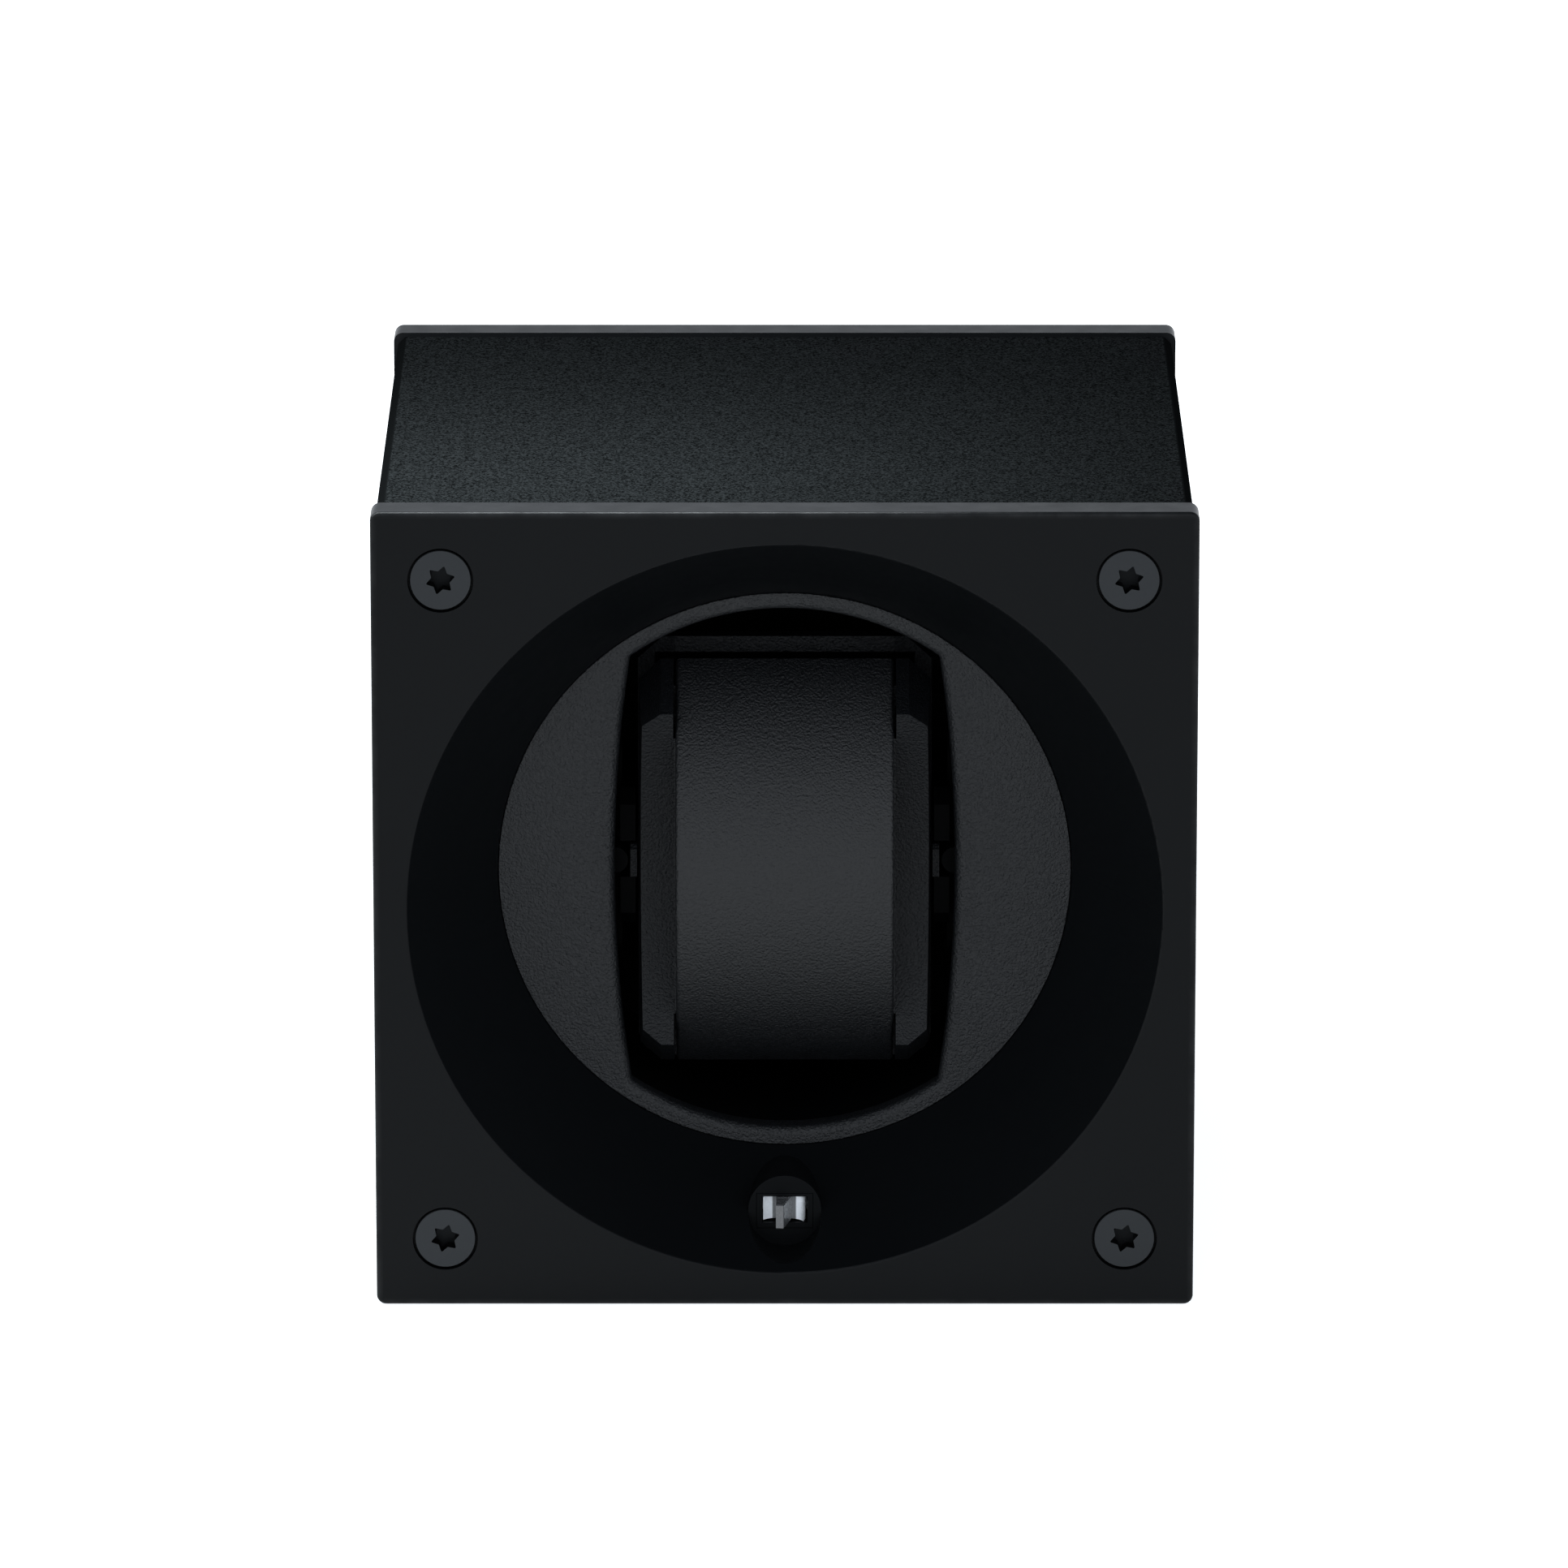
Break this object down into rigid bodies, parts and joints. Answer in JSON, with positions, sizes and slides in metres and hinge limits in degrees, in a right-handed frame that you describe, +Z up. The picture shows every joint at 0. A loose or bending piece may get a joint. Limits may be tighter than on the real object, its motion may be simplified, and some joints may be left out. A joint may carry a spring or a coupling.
{
  "type": "watch winder",
  "caption": "Cube-shaped watch winder with a conical recess, a motor-driven rotating drum, a sprung strap holder that pulls out and a small direction switch.",
  "frame": {"origin": "middle of the cabinet's square footprint, at the level it stands on", "axes": "+Z up, -Y out of the front opening, X to the viewer's right when facing the front"},
  "size_m": [0.104, 0.104, 0.104],
  "materials": {
    "frame_black": "smooth matte black, very fine texture",
    "sleeve_black": "fine grained satin black coating",
    "drum_black": "leather-grained matte black",
    "holder_black": "leather-grained matte black",
    "inner_black": "plain matte black",
    "screw_black": "black oxide",
    "steel": "bright zinc plated",
    "bearing_steel": "ground and polished",
    "brass": "machined",
    "spring_steel": "drawn wire",
    "nickel": "nickel plated",
    "gear_white": "natural acetal",
    "chassis_black": "moulded matte black",
    "motor_steel": "drawn steel can",
    "rubber_black": "soft matte",
    "rocker_clear": "frosted translucent plastic",
    "guide_clear": "clear moulded plastic",
    "board_green": "solder resist",
    "chip_black": "moulded epoxy",
    "led_white": "white package with a phosphor window",
    "connector_white": "unfilled nylon",
    "capacitor_black": "shrunk sleeve",
    "cell_wrap": "printed sleeve left plain",
    "magnet": "nickel plated",
    "lead_red": "insulated lead",
    "cable_black": "jacketed cable"
  },
  "bodies": {
    "cabinet": {"front_frame": "frame_black", "rear_frame": "frame_black", "housing_sleeve": "sleeve_black", "front_screws": "screw_black", "rear_screws": "screw_black", "chassis": "chassis_black", "chassis_posts": "brass", "chassis_screws": "steel", "bearing_outer_rings": "bearing_steel", "motor_gasket": "rubber_black", "motor_gearbox": "brass", "motor_can": "motor_steel", "motor_terminals": "nickel", "motor_screws": "steel", "hall_sensor": "chip_black", "switch_bezel": "inner_black", "light_guide": "guide_clear", "switch_board": "board_green", "status_led": "led_white", "switch_board_screws": "steel", "battery_tray": "inner_black", "tray_screws": "steel", "battery_left": "cell_wrap", "battery_right": "cell_wrap", "contact_plates": "nickel", "contact_springs": "spring_steel", "control_board": "board_green", "control_board_screws": "steel", "board_chips": "chip_black", "board_capacitor": "capacitor_black", "board_connectors": "connector_white", "usb_socket": "nickel", "motor_leads": "lead_red", "battery_leads": "lead_red", "switch_cable": "cable_black", "sensor_cable": "cable_black"},
    "drum": {"drum_front": "drum_black", "drum_cup": "inner_black", "stop_magnet": "magnet", "drum_cradle": "inner_black", "cradle_screws": "steel", "detent_plungers": "inner_black", "ring_gear": "gear_white", "drum_axle": "steel", "axle_spacer": "brass", "axle_clip": "spring_steel", "bearing_inner_rings": "bearing_steel", "bearing_balls": "bearing_steel"},
    "pinion": {"pinion": "gear_white", "motor_shaft": "steel"},
    "holder": {"holder_rear": "holder_black", "holder_springs": "spring_steel"},
    "holder_front_half": {"holder_front": "holder_black", "holder_rods": "steel", "rod_washers": "nickel"},
    "rocker": {"switch_rocker": "rocker_clear"},
    "cover": {"battery_cover": "frame_black"},
    "fastener_upper": {"cover_fastener_upper": "screw_black"},
    "fastener_lower": {"cover_fastener_lower": "screw_black"}
  },
  "joints": [
    {"name": "drum_spin", "type": "hinge", "parent": "cabinet", "child": "drum", "pos_m": [0, 0, 0.052], "axis": [0, 1, 0], "continuous": true},
    {"name": "pinion_spin", "type": "hinge", "parent": "cabinet", "child": "pinion", "pos_m": [0.03988, 0, 0.0334], "axis": [0, 1, 0], "continuous": true},
    {"name": "holder_pull", "type": "slide", "parent": "drum", "child": "holder", "axis": [0, -1, 0], "range_m": [0, 0.05]},
    {"name": "holder_squeeze", "type": "slide", "parent": "holder", "child": "holder_front_half", "axis": [0, 1, 0], "range_m": [0, 0.0045], "stiffness_N_per_m": 400, "springref_m": -0.004, "deforming": ["holder_springs"]},
    {"name": "rocker_tilt", "type": "hinge", "parent": "cabinet", "child": "rocker", "pos_m": [0, -0.041, 0.00985], "axis": [0, 0, 1], "range_deg": [0, 14]},
    {"name": "cover_slide", "type": "slide", "parent": "cabinet", "child": "cover", "axis": [0, 1, 0], "range_m": [0, 0.04]},
    {"name": "fastener_turn_upper", "type": "hinge", "parent": "cover", "child": "fastener_upper", "pos_m": [0, 0.0495, 0.0884], "axis": [0, 1, 0], "range_deg": [0, 90]},
    {"name": "fastener_turn_lower", "type": "hinge", "parent": "cover", "child": "fastener_lower", "pos_m": [0, 0.0495, 0.0236], "axis": [0, 1, 0], "range_deg": [0, 90]}
  ],
  "couplings": [
    {"joint": "pinion_spin", "follows": "drum_spin", "ratio": -6.8571}
  ]
}
